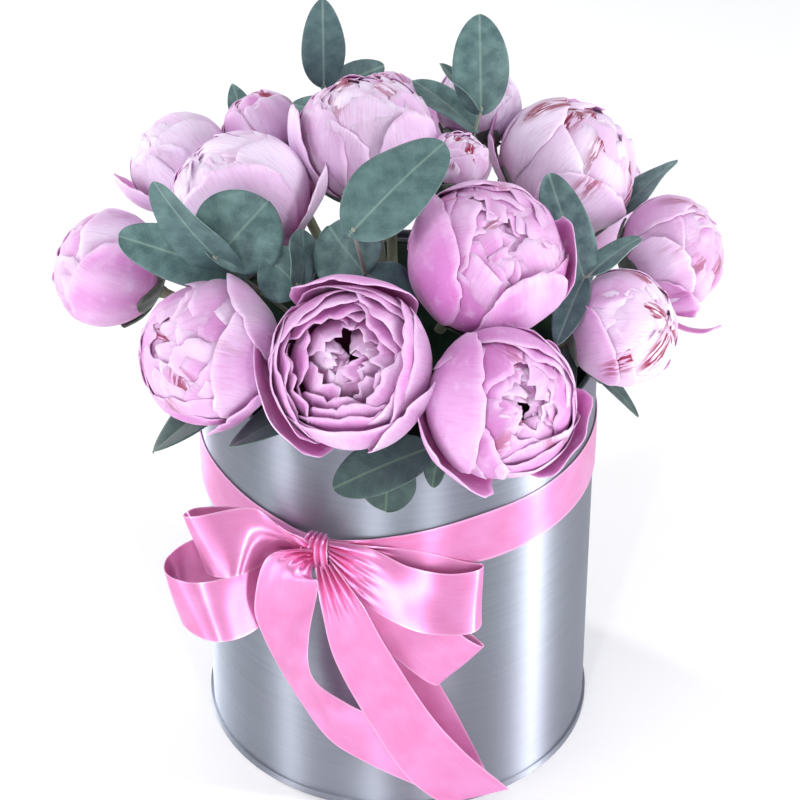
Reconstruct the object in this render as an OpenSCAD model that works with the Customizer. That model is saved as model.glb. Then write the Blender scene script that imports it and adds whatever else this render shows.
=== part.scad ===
// Round metal flower box with a satin bow, filled with peonies and eucalyptus set in floral foam.
// Millimetres, +Z up. The origin is the centre of the base, on the surface that the box stands on.
// The bow is at the front, towards -Y. Every stem points at one focus inside the foam,
// so a flower or a sprig draws straight out along its own stem.

/* [Box] */
// Outside diameter of the box
box_d = 200; // [180:5:220]
// Height of the box, over its rolled rim
box_h = 226; // [222:1:230]
// Thickness of the tinplate
sheet_t = 0.8; // [0.5:0.1:1.2]
// Radius of the rolled rim and of the seam round the base
bead_r = 1.4; // [1:0.1:2]

/* [Filling] */
// Gap between the liner and the wall
liner_gap = 0.8; // [0.5:0.1:1.5]
// Thickness of the waterproof liner
liner_t = 0.6; // [0.4:0.1:1]
// Height of the joint between the two foam blocks
foam_split_z = 96; // [80:1:110]
// Height of the foam's crown
foam_top_z = 250; // [244:1:252]

/* [Flowers] */
// Radius of a peony stem
stem_r = 2.7; // [2:0.1:3]
// Radius of a eucalyptus stem
twig_r = 1.4; // [1:0.1:1.6]
// Radial clearance of a stem in the foam
stem_fit = 0.05; // [0.02:0.01:0.09]
// Share of a bloom's drawn radius that its solid fills
bloom_fill = 0.94; // [0.85:0.01:0.95]
// Thickness of a leaf
leaf_t = 0.6; // [0.4:0.1:0.8]

/* [Ribbon] */
// Width of the ribbon where it is pulled round the box
band_h = 29; // [25:1:32]
// Thickness of the ribbon
ribbon_t = 0.6; // [0.4:0.1:0.8]
// Height of the ribbon's middle on the box
band_z = 167; // [160:1:172]

/* [Hidden] */
$fn = 64;
box_r = box_d / 2;
base_z = 4;
liner_r = box_r - sheet_t - liner_gap;
liner_z = base_z + sheet_t;
liner_h = box_h - 4;
foam_r = liner_r - liner_t;
foam_z = liner_z + liner_t;
focus_z = 190;
focus = [0, 0, focus_z];
// Stems stop this far short of the focus, so that they never meet
stem_start = 40;
bore_spare = 0.5;
// A bloom is cut flat where its calyx starts, and the calyx tapers to the stem
flat_share = 0.88;
calyx_share = 0.42;
calyx_h = 8;
knot_pos = [-38, -106, 171];
knot_size = [15, 11, 17];
sweep_steps = 4;

// Peonies: azimuth from the front towards +X, elevation, reach of the bloom's centre from the focus,
// bloom radius, and leaves. A leaf is where its stalk leaves the stem, its base, its tip, width and roll.
// A base of 0 sits on the stem.
peonies = [
    [-52, 32, 134, 34, [[92, 0, [-118, -80, 212], 24, 0]]],
    [-12, 39, 133, 38, [
        [82, 0, [-79, -106, 233], 26, 10],
        [92, [12, -109, 232], [-30, -120, 219], 24, -35],
        [92, [-3, -105, 230], [-6, -114, 200], 28, 0]
    ]],
    [24, 30, 138, 35, [[97, [22, -105, 234], [16, -112, 213], 12, 0]]],
    [38, 59, 132, 37, []],
    [71, 29, 132, 28, [[100, 0, [118, -50, 211], 11, 0], [98, 0, [78, -82, 233], 12, 0]]],
    [120, 47, 144, 35, []],
    [99, 27, 156, 28, []],
    [-94, 55, 135, 35, []],
    [-117, 40, 160, 26, []],
    [-96, 24, 159, 29, []],
    [-155, 74, 135, 34, []],
    [-134, 51, 152, 19, []],
    [-176, 56, 149, 16, []],
    [152, 55, 151, 22, []],
    [119, 75, 131, 14.5, []],
    [133, 24, 150, 31, []],
    [172, 26, 148, 32, []],
    [-147, 24, 150, 31, []]
];

// Eucalyptus sprigs: azimuth, elevation, reach of the stem's end from the focus, and leaves as above
sprigs = [
    [-63, 48, 146, [
        [144, 0, [-61, -34, 322], 43, 60],
        [130, 0, [-113, -50, 339], 24, 55],
        [126, 0, [-131, -40, 307], 24, -50]
    ]],
    [-16, 62, 158, [
        [156, 0, [21, -40, 358], 36, 20],
        [156, 0, [8, -38, 324], 18, 50],
        [118, 0, [-33, -36, 310], 35, -50],
        [118, 0, [8, -62, 282], 24, 20]
    ]],
    [-156, 55, 162, [[160, 0, [-37, 78, 369], 21, 0], [158, 0, [-6, 122, 312], 14, 60]]],
    [138, 66, 152, [
        [150, 0, [40, 60, 372], 28, 0],
        [150, 0, [21, 56, 348], 14, 20],
        [140, 0, [8, 66, 334], 18, 0]
    ]],
    [70, 43, 135, [
        [130, 0, [72, -8, 322], 22, -35],
        [130, 0, [75, -64, 262], 12, 0],
        [134, 0, [116, -20, 295], 14, 0]
    ]],
    [110, 34, 142, [[140, 0, [140, 64, 290], 22, -20]]],
    [-137, 42, 152, [[150, 0, [-85, 108, 309], 13, 0]]],
    [-42, 54, 122, [[115, 0, [-62, -46, 300], 28, -50], [118, 0, [-44, -36, 308], 22, 60]]],
    [-165, 36, 152, [
        [150, 0, [-56, 132, 286], 24, 0],
        [150, 0, [-6, 134, 296], 22, 0],
        [136, 0, [-30, 152, 256], 24, 0]
    ]],
    [150, 34, 152, [
        [150, 0, [84, 118, 290], 24, 0],
        [150, 0, [42, 124, 292], 22, 0],
        [134, 0, [66, 140, 250], 22, 0]
    ]]
];

// Ribbon pieces, from the knot outwards: [middle of the ribbon, half of its width as a vector]
loop_left_upper = [
    [[-42, -107, 173], [0, -2, 4]],
    [[-55, -111, 182], [-1, -6, 12]],
    [[-71, -115, 184], [2, 6, 15]],
    [[-90, -112, 178], [-5, 7, 13]],
    [[-97, -105, 175], [-5, 5, 13]],
    [[-90, -98, 174], [-4, 4, 14]],
    [[-68, -98, 173], [-1, 3, 14]],
    [[-44, -102, 172], [0, 1, 4]]
];
loop_left_lower = [
    [[-42, -106, 167], [0, -1, 4]],
    [[-56, -110, 158], [-1, 2, 11]],
    [[-72, -118, 149], [-2, 4, 15]],
    [[-92, -122, 146], [-4, 4, 15]],
    [[-107, -113, 146], [-4, 2, 15]],
    [[-108, -102, 150], [-2, 1, 15]],
    [[-96, -94, 154], [0, 1, 15]],
    [[-72, -97, 160], [0, 1, 12]],
    [[-44, -102, 168], [0, 1, 4]]
];
loop_right_upper = [
    [[-33, -108, 172], [0, 2, 4]],
    [[-15, -111, 160], [2, 5, 12]],
    [[5, -113, 148], [0, 5, 15]],
    [[23, -111, 142], [0, 5, 15]],
    [[37, -105, 139], [0, 5, 15]],
    [[41, -98, 139], [0, 3, 15]],
    [[33, -98, 142], [0, 1, 15]],
    [[10, -102, 153], [0, 1, 14]],
    [[-33, -104, 171], [0, 1, 4]]
];
loop_right_lower = [
    [[-34, -107, 167], [1, 1, 4]],
    [[-14, -108, 143], [9, 1, 8]],
    [[6, -111, 125], [11, 1, 11]],
    [[23, -111, 108], [11, 2, 11]],
    [[31, -108, 101], [11, 3, 10]],
    [[27, -105, 105], [11, 1, 11]],
    [[5, -106, 126], [11, 0, 11]],
    [[-32, -105, 165], [2, 1, 4]]
];
tail_left = [
    [[-41, -109, 172], [0, -2, 4]],
    [[-51, -120, 172], [-10, -2, 8]],
    [[-53, -124, 159], [-15, -4, -2]],
    [[-54, -121, 131], [-11, -4, 4]],
    [[-47, -114, 95], [-5, 8, -11]],
    [[-31, -108, 66], [-4, 2, -14]],
    [[-10, -108, 51], [-5, -1, -13]],
    [[14, -109, 38], [-6, -2, -12]]
];
tail_centre = [
    [[-35, -112, 167], [4, 0, 1]],
    [[-27, -122, 150], [9, -1, 4]],
    [[-18, -125, 123], [12, 0, 5]],
    [[2, -121, 76], [13, 0, 7]],
    [[19, -119, 46], [14, 1, 8]],
    [[36, -117, 26], [14, 2, 6]]
];
tail_right = [
    [[-35, -104, 165], [4, 0, 1]],
    [[-14, -102, 120], [13, 0, 6]],
    [[8, -102, 76], [14, 0, 6]],
    [[22, -103, 43], [14, 1, 6]],
    [[29, -104, 26], [14, 1, 6]]
];

LOOPS = ["left_upper", "left_lower", "right_upper", "right_lower"];
TAILS = ["left", "centre", "right"];
function peony_name(i) = str("peony_", i < 9 ? "0" : "", i + 1);
function sprig_name(i) = str("eucalyptus_", i < 9 ? "0" : "", i + 1);

// Unit vector of a stem, and the point on it at a reach from the focus
function ray(az, el) = [cos(el) * sin(az), -cos(el) * cos(az), sin(el)];
function on_stem(plant, reach) = focus + reach * ray(plant[0], plant[1]);

// Smooth curve through a list of vectors, by Catmull-Rom
function catmull(a, b, c, d, t) =
    0.5 * (2 * b + (c - a) * t + (2 * a - 5 * b + 4 * c - d) * t * t + (3 * b - a - 3 * c + d) * t * t * t);
function at(list, i) = list[max(0, min(len(list) - 1, i))];
function smooth(list) = [
    for (i = [0 : len(list) - 2], s = [0 : sweep_steps - 1])
        catmull(at(list, i - 1), list[i], list[i + 1], at(list, i + 2), s / sweep_steps),
    list[len(list) - 1]
];
function unit(v) = v / norm(v);

// Puts its children, drawn along +Z, on a plant's stem
module along(plant) {
    translate(focus) rotate([0, 90 - plant[1], plant[0] - 90]) children();
}

// A straight rod between two points
module rod(a, b, r) {
    v = b - a;
    translate(a) rotate([0, acos(v.z / norm(v)), atan2(v.y, v.x)]) cylinder(h = norm(v), r = r, $fn = 24);
}

// A flat leaf from its base to its tip, bounded by two arcs
module blade(base, tip, width, roll) {
    v = tip - base;
    length = norm(v);
    arc_r = (length * length + width * width) / (4 * width);
    translate(base) rotate([0, -asin(v.z / length), atan2(v.y, v.x)]) rotate([roll, 0, 0])
        translate([0, 0, -leaf_t / 2]) linear_extrude(leaf_t) intersection() {
            translate([length / 2, arc_r - width / 2]) circle(arc_r);
            translate([length / 2, width / 2 - arc_r]) circle(arc_r);
        }
}

module leaves(plant, list) {
    for (leaf = list) {
        root = on_stem(plant, leaf[0]);
        base = leaf[1] == 0 ? root : leaf[1];
        blade(base, leaf[2], leaf[3], leaf[4]);
        if (leaf[1] != 0) rod(root, base + 2 * unit(leaf[2] - base), 0.9);
    }
}

// A strip of ribbon swept through its stations: four corners a ring, so a closed solid
module strip(stations) {
    middle = smooth([for (s = stations) s[0]]);
    half = smooth([for (s = stations) s[1]]);
    last = len(middle) - 1;
    function side(i) = unit(cross(at(middle, i + 1) - at(middle, i - 1), half[i])) * ribbon_t / 2;
    points = [for (i = [0 : last]) each [
        middle[i] + half[i] + side(i),
        middle[i] - half[i] + side(i),
        middle[i] - half[i] - side(i),
        middle[i] + half[i] - side(i)
    ]];
    faces = concat(
        [[0, 1, 2, 3], [for (k = [3 : -1 : 0]) last * 4 + k]],
        [for (i = [0 : last - 1], k = [0 : 3]) [
            i * 4 + k, (i + 1) * 4 + k, (i + 1) * 4 + (k + 1) % 4, i * 4 + (k + 1) % 4
        ]]
    );
    polyhedron(points, faces);
}

// Tinplate wall, with its edge rolled outwards at the rim
module box_wall() {
    color("silver") rotate_extrude($fn = 96) {
        translate([box_r - sheet_t, base_z]) square([sheet_t, box_h - bead_r - base_z]);
        translate([box_r, box_h - bead_r]) circle(bead_r, $fn = 32);
    }
}

// Pressed base: a raised disc, and the double seam that grips the wall's foot
module box_base() {
    color("gainsboro") {
        translate([0, 0, base_z - sheet_t]) cylinder(h = sheet_t, r = box_r, $fn = 96);
        rotate_extrude($fn = 96) difference() {
            translate([box_r - sheet_t, 0]) square([sheet_t + bead_r, base_z]);
            translate([box_r - sheet_t, base_z - sheet_t]) square([sheet_t, sheet_t]);
        }
    }
}

// Thin waterproof cup round the foam
module liner() {
    color("whitesmoke") translate([0, 0, liner_z]) rotate_extrude($fn = 96) {
        square([liner_r, liner_t]);
        translate([liner_r - liner_t, 0]) square([liner_t, liner_h - liner_z]);
    }
}

module foam_lower() {
    color("seagreen") translate([0, 0, foam_z]) cylinder(h = foam_split_z - foam_z, r = foam_r, $fn = 96);
}

// Upper block, shaved to a low crown, with a bore for every stem
module foam_upper() {
    shoulder_z = box_h - 6;
    color("seagreen") difference() {
        rotate_extrude($fn = 96) polygon([
            [0, foam_split_z], [foam_r, foam_split_z], [foam_r, shoulder_z],
            [0.66 * foam_r, 0.6 * foam_top_z + 0.4 * shoulder_z],
            [0.1 * foam_r, foam_top_z], [0, foam_top_z]
        ]);
        for (p = peonies) along(p) translate([0, 0, stem_start - bore_spare])
            cylinder(h = box_r, r = stem_r + stem_fit, $fn = 32);
        for (s = sprigs) along(s) translate([0, 0, stem_start - bore_spare])
            cylinder(h = box_r, r = twig_r + stem_fit, $fn = 32);
    }
}

// Ribbon drawn round the box
module ribbon_band() {
    color("hotpink") translate([0, 0, band_z - band_h / 2]) difference() {
        cylinder(h = band_h, r = box_r + ribbon_t, $fn = 96);
        translate([0, 0, -1]) cylinder(h = band_h + 2, r = box_r, $fn = 96);
    }
}

// Short wrap of ribbon that holds the bow, on a pad that reaches back to the band
module bow_knot() {
    turn = atan2(knot_pos.x, -knot_pos.y);
    color("deeppink") translate(knot_pos) rotate([0, 0, turn]) intersection() {
        cube(knot_size, center = true);
        rotate([0, 90, 0]) cylinder(h = knot_size.x, r = 0.56 * knot_size.z, center = true, $fn = 48);
    }
}

module bow_loop(stations) {
    color("pink") strip(stations);
}

module ribbon_tail(stations) {
    color("lightpink") strip(stations);
}

// Stem with its calyx and the leaves that grow from it
module peony_stem(i) {
    plant = peonies[i];
    r = bloom_fill * plant[3];
    seat = plant[2] - flat_share * r;
    color("olivedrab") {
        along(plant) {
            translate([0, 0, stem_start]) cylinder(h = seat - calyx_h / 2 - stem_start, r = stem_r, $fn = 32);
            translate([0, 0, seat - calyx_h]) cylinder(h = calyx_h, r1 = stem_r, r2 = calyx_share * r, $fn = 32);
        }
        leaves(plant, plant[4]);
    }
}

// The head of petals, as one rounded solid cut flat where it sits on its calyx
module peony_bloom(i) {
    plant = peonies[i];
    r = bloom_fill * plant[3];
    color("plum") along(plant) translate([0, 0, plant[2]]) difference() {
        sphere(r);
        translate([0, 0, -(1 + flat_share) * r]) cylinder(h = r, r = r);
    }
}

module eucalyptus(i) {
    plant = sprigs[i];
    color("cadetblue") {
        along(plant) translate([0, 0, stem_start]) cylinder(h = plant[2] - stem_start, r = twig_r, $fn = 24);
        leaves(plant, plant[3]);
    }
}

box_wall();
box_base();
liner();
foam_lower();
foam_upper();
ribbon_band();
bow_knot();
bow_loop(loop_left_upper);  // bow_loop_left_upper
bow_loop(loop_left_lower);  // bow_loop_left_lower
bow_loop(loop_right_upper);  // bow_loop_right_upper
bow_loop(loop_right_lower);  // bow_loop_right_lower
ribbon_tail(tail_left);  // ribbon_tail_left
ribbon_tail(tail_centre);  // ribbon_tail_centre
ribbon_tail(tail_right);  // ribbon_tail_right
for (i = [0 : len(peonies) - 1]) peony_stem(i);
for (i = [0 : len(peonies) - 1]) peony_bloom(i);
for (i = [0 : len(sprigs) - 1]) eucalyptus(i);
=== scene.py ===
# Round metal flower box with a satin bow, filled with peonies and eucalyptus.
# Everything ends up in metres in the CAD frame, +Z up, the bow towards -Y. Tables are in millimetres and
# degrees, and their first columns repeat the driving values of the CAD model.
import math

import bpy
import numpy as np
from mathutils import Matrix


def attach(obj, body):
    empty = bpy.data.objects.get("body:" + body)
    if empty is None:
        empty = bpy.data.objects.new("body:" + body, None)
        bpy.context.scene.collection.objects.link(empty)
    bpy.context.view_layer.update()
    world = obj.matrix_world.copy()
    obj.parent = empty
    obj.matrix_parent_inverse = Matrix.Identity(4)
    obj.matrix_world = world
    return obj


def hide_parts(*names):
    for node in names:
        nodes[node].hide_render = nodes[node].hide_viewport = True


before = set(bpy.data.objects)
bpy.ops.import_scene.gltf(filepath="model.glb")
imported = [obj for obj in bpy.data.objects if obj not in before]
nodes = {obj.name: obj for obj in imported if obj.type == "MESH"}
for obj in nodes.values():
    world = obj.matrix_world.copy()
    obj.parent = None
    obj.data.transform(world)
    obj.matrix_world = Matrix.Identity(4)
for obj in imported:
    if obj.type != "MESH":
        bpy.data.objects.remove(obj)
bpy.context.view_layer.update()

MM = 0.001
# Point that every stem's line runs through, and how far from it the stems begin
FOCUS = np.array([0.0, 0.0, 190.0])
STEM_START = 40.0
STEM_R = 2.62
TWIG_R = 1.35
TWIG_TIP_R = 0.9
STALK_R = 0.75
# Share of a bloom's radius from its middle down to its calyx, and the solid ball's share of that radius
FLAT_SHARE = 0.88
BLOOM_FILL = 0.94
# Heads: radius that the petals' waves are sized for, polar angle where petals leave the calyx, turn between
# layers, small petals in the core of a head and of a bud, radius that parts the two, and openness from which
# the core sits deep
PETAL_REFERENCE_R = 35.0
PETAL_START = 168
LAYER_TURN = 137.5
CORE_PETALS = 16
CORE_PETALS_BUD = 8
BUD_R = 24
DEEP_CORE = 0.4
PETAL_T = 0.5
SEPALS = 5
SEPAL_T = 0.8
# Leaves: how far a blade runs on past its base, the way its top faces, thickness
LEAF_OVERRUN = 0.08
LEAF_FACES = np.array([0, -0.55, 0.83])
LEAF_T = 0.5
# Random draws of stems and sprigs are seeded with these plus the number of the stem or sprig
GREENS_SEED = 200
SPRIG_SEED = 400
BOX_R = 100.0
BAND_Z = 167.0
KNOT = np.array([-38.0, -106.0, 171.0])
RIBBON_W = 32.0
RIBBON_T = 0.4
TAIL_CUT = 9.0
# Pleats beside the knot: their height, number in a loop and a tail, and where they start and stop fading
PLEAT_HEIGHT = 2.0
LOOP_PLEATS = 5
TAIL_PLEATS = 4
PLEAT_FADE = (18, 38)
# Edges that turn by more than this stay sharp on a ribbon, in degrees
RIBBON_SHARP = 60
# The knot's turn: half width, half height, depth and height of its creases
KNOT_HALF_W = 5.6
KNOT_HALF_H = 8.8
KNOT_DEPTH = 6.2
KNOT_CREASE = 1.15
FLOOR_SPAN = 40.0
FLOOR_DROP = 0.0002
CAMERA_PLACE = (0.001094, -1.169636, 0.989767)
CAMERA_LOOKS_DOWN = 34.508
CAMERA_LENS = 126

# Peonies: azimuth, elevation, reach, radius, how far open, paleness, crimson, seed,
# loose outer petals as (angle round the axis, polar angle of the tip, lift, half width).
# Paleness is each head's own tone, and its low values on the front heads are painted shade
PEONIES = [
    (-52, 32, 134, 34, 0.12, 0.30, 0.5, 11, [(62, 66, 3.0, 40), (-31, 84, 4.0, 34), (15, 50, 1.0, 50)]),
    (-12, 39, 133, 38, 1.00, 0.20, 0.1, 12, [(-149, 70, 5.5, 46), (95, 56, 4.5, 44), (-35, 62, 2.0, 36)]),
    (24, 30, 138, 35, 0.40, 0.15, 0.4, 13, [(165, 34, 1.0, 60), (-150, 78, 7.0, 44), (-40, 62, 4.0, 36)]),
    (38, 59, 132, 37, 0.12, 0.10, 0.4, 14, [(-95, 42, 2.0, 36), (-25, 60, 4.0, 30), (160, 44, 0.8, 52)]),
    (71, 29, 132, 28, 0.05, 0.75, 1.0, 15, [(167, 78, 1.5, 44)]),
    (120, 47, 144, 35, 0.20, 0.80, 1.0, 16, [(52, 104, 6.0, 30), (45, 76, 7.0, 13), (175, 84, 2.0, 42)]),
    (99, 27, 156, 28, 0.30, 0.40, 0.6, 17, [(159, 78, 3.0, 34), (-122, 84, 15.0, 16), (-159, 90, 4.0, 32)]),
    (-94, 55, 135, 35, 0.08, 0.90, 0.3, 18, [(90, 100, 10.0, 40), (10, 40, 1.0, 52)]),
    (-117, 40, 160, 26, 0.08, 0.80, 0.2, 19, [(-50, 56, 7.0, 46)]),
    (-96, 24, 159, 29, 0.05, 0.45, 0.3, 20, [(12, 60, 1.5, 48)]),
    (-155, 74, 135, 34, 0.40, 0.70, 0.45, 21, [(-14, 56, 4.0, 34), (107, 64, 1.5, 30)]),
    (-134, 51, 152, 19, 0.30, 0.45, 0.8, 22, []),
    (-176, 56, 149, 16, 0.45, 0.45, 0.5, 23, []),
    (152, 55, 151, 22, 0.15, 0.95, 0.3, 24, []),
    (119, 75, 131, 14.5, 0.30, 0.85, 1.0, 25, []),
    (133, 24, 150, 31, 0.30, 0.60, 0.5, 26, [(60, 40, 3.0, 36)]),
    (172, 26, 148, 32, 0.60, 0.40, 0.5, 27, [(20, 60, 4.0, 36)]),
    (-147, 24, 150, 31, 0.20, 0.70, 0.4, 28, [(120, 40, 2.0, 40)]),
]

# Leaves on peony stems, by peony number: reach where the stalk leaves the stem, base or None, tip, width,
# roll, fold, arch, fullness
PEONY_LEAVES = {
    1: [(92, None, (-118, -80, 212), 25, 0, 0.2, 3, 0.6)],
    2: [
        (82, None, (-79, -106, 233), 28, 10, 0.1, 2, 0.55),
        (92, (12, -109, 232), (-30, -120, 219), 26, -35, 0.1, 3, 0.5),
        (92, (-3, -105, 230), (-6, -114, 200), 29, 0, 0.1, 2, 0.5),
    ],
    3: [(97, (22, -105, 234), (16, -112, 213), 13, 0, 0.3, 1, 0.6)],
    5: [
        (100, None, (118, -50, 211), 12, 0, 0.3, 2, 0.8),
        (98, None, (78, -82, 233), 13, 0, 0.2, 1, 0.7),
    ],
}

# Eucalyptus: azimuth, elevation, reach of the stem's end, leaves as above
SPRIGS = [
    (-63, 48, 146, [
        (144, None, (-61, -34, 322), 44, 60, 0.08, 2, 0.5),
        (130, None, (-113, -50, 339), 26, 55, 0.25, 4, 0.42),
        (126, None, (-131, -40, 307), 27, -50, 0.15, 3, 0.4),
    ]),
    (-16, 62, 158, [
        (156, None, (21, -40, 358), 37, 20, 0.08, 3, 0.5),
        (156, None, (8, -38, 324), 19, 50, 0.1, 2, 0.5),
        (118, None, (-33, -36, 310), 36, -50, 0.1, 2, 0.5),
        (118, None, (8, -62, 282), 26, 20, 0.1, 2, 0.5),
    ]),
    (-156, 55, 162, [
        (160, None, (-37, 78, 371), 22, 0, 0.2, 2, 0.62),
        (158, None, (-6, 122, 312), 16, 60, 0.2, 2, 0.6),
    ]),
    (138, 66, 152, [
        (150, None, (40, 60, 372), 28, 0, 0.1, 2, 0.55),
        (150, None, (21, 56, 348), 16, 20, 0.2, 1, 0.6),
        (140, None, (8, 66, 334), 20, 0, 0.15, 2, 0.6),
    ]),
    (70, 43, 135, [
        (130, None, (72, -8, 322), 23, -35, 0.08, 3, 0.5),
        (130, None, (75, -64, 262), 15, 0, 0.15, 2, 0.65),
        (134, None, (116, -20, 295), 15, 0, 0.2, 2, 0.6),
    ]),
    (110, 34, 142, [(140, None, (140, 64, 290), 22, -20, 0.15, 2, 0.55)]),
    (-137, 42, 152, [(150, None, (-85, 108, 309), 13, 0, 0.25, 1, 0.8)]),
    (-42, 54, 122, [
        (115, None, (-62, -46, 300), 29, -50, 0.1, 2, 0.5),
        (118, None, (-44, -36, 308), 23, 60, 0.1, 2, 0.5),
    ]),
    (-165, 36, 152, [
        (150, None, (-56, 132, 286), 26, 0, 0.15, 3, 0.55),
        (150, None, (-6, 134, 296), 24, 0, 0.15, 3, 0.55),
        (136, None, (-30, 152, 256), 26, 0, 0.15, 3, 0.55),
    ]),
    (150, 34, 152, [
        (150, None, (84, 118, 290), 26, 0, 0.15, 3, 0.55),
        (150, None, (42, 124, 292), 24, 0, 0.15, 3, 0.55),
        (134, None, (66, 140, 250), 24, 0, 0.15, 3, 0.55),
    ]),
]

# Ribbon, from the knot outwards: middle of the ribbon, half of its width as a vector
LOOPS = {
    "left_upper": [
        ((-42, -107, 173), (0, -2, 4)),
        ((-55, -111, 182), (-1, -6, 12)),
        ((-71, -115, 184), (2, 6, 15)),
        ((-90, -112, 178), (-5, 7, 13)),
        ((-97, -105, 175), (-5, 5, 13)),
        ((-90, -98, 174), (-4, 4, 14)),
        ((-68, -98, 173), (-1, 3, 14)),
        ((-44, -102, 172), (0, 1, 4)),
    ],
    "left_lower": [
        ((-42, -106, 167), (0, -1, 4)),
        ((-56, -110, 158), (-1, 2, 11)),
        ((-72, -118, 149), (-2, 4, 15)),
        ((-92, -122, 146), (-4, 4, 15)),
        ((-107, -113, 146), (-4, 2, 15)),
        ((-108, -102, 150), (-2, 1, 15)),
        ((-96, -94, 154), (0, 1, 15)),
        ((-72, -97, 160), (0, 1, 12)),
        ((-44, -102, 168), (0, 1, 4)),
    ],
    "right_upper": [
        ((-33, -108, 172), (0, 2, 4)),
        ((-15, -111, 160), (2, 5, 12)),
        ((5, -113, 148), (0, 5, 15)),
        ((23, -111, 142), (0, 5, 15)),
        ((37, -105, 139), (0, 5, 15)),
        ((41, -98, 139), (0, 3, 15)),
        ((33, -98, 142), (0, 1, 15)),
        ((10, -102, 153), (0, 1, 14)),
        ((-33, -104, 171), (0, 1, 4)),
    ],
    "right_lower": [
        ((-34, -107, 167), (1, 1, 4)),
        ((-14, -108, 143), (9, 1, 8)),
        ((6, -111, 125), (11, 1, 11)),
        ((23, -111, 108), (11, 2, 11)),
        ((31, -108, 101), (11, 3, 10)),
        ((27, -105, 105), (11, 1, 11)),
        ((5, -106, 126), (11, 0, 11)),
        ((-32, -105, 165), (2, 1, 4)),
    ],
}
TAILS = {
    "left": [
        ((-41, -109, 172), (0, -2, 4)),
        ((-51, -120, 172), (-10, -2, 8)),
        ((-53, -124, 159), (-15, -4, -2)),
        ((-54, -121, 131), (-11, -4, 4)),
        ((-47, -114, 95), (-5, 8, -11)),
        ((-31, -108, 66), (-4, 2, -14)),
        ((-10, -108, 51), (-5, -1, -13)),
        ((14, -109, 38), (-6, -2, -12)),
    ],
    "centre": [
        ((-35, -112, 167), (4, 0, 1)),
        ((-27, -122, 150), (9, -1, 4)),
        ((-18, -125, 123), (12, 0, 5)),
        ((2, -121, 76), (13, 0, 7)),
        ((19, -119, 46), (14, 1, 8)),
        ((36, -117, 26), (14, 2, 6)),
    ],
    "right": [
        ((-35, -104, 165), (4, 0, 1)),
        ((-14, -102, 120), (13, 0, 6)),
        ((8, -102, 76), (14, 0, 6)),
        ((22, -103, 43), (14, 1, 6)),
        ((29, -104, 26), (14, 1, 6)),
    ],
}


# ---------------------------------------------------------------- colours and small maths

def rgb(r, g, b):
    """A display colour, 0 to 255, as linear light."""
    c = np.array([r, g, b]) / 255.0
    return np.where(c <= 0.04045, c / 12.92, ((c + 0.055) / 1.055) ** 2.4)


PALE = rgb(242, 220, 248)
PINK = rgb(206, 128, 196)
ROSE = rgb(196, 98, 168)
MAGENTA_SHADE = rgb(176, 62, 128)
CRIMSON = rgb(138, 8, 58)
MAUVE_SHADE = rgb(188, 120, 172)


def ray(az, el):
    a, e = math.radians(az), math.radians(el)
    return np.array([math.cos(e) * math.sin(a), -math.cos(e) * math.cos(a), math.sin(e)])


def unit(v):
    return v / np.maximum(np.linalg.norm(v, axis=-1, keepdims=True), 1e-9)


def smoothstep(a, b, x):
    t = np.clip((x - a) / (b - a), 0, 1)
    return t * t * (3 - 2 * t)


def mix(a, b, t):
    t = np.asarray(t)[..., None]
    return a * (1 - t) + b * t


def catmull(points, steps):
    """Smooth curve through the rows of points."""
    p = np.vstack([points[:1], points, points[-1:]])
    out = []
    for i in range(len(points) - 1):
        a, b, c, d = p[i], p[i + 1], p[i + 2], p[i + 3]
        for s in range(steps):
            t = s / steps
            out.append(0.5 * (2 * b + (c - a) * t + (2 * a - 5 * b + 4 * c - d) * t * t
                              + (3 * b - a - 3 * c + d) * t ** 3))
    out.append(points[-1])
    return np.array(out)


# ---------------------------------------------------------------- meshes

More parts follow.
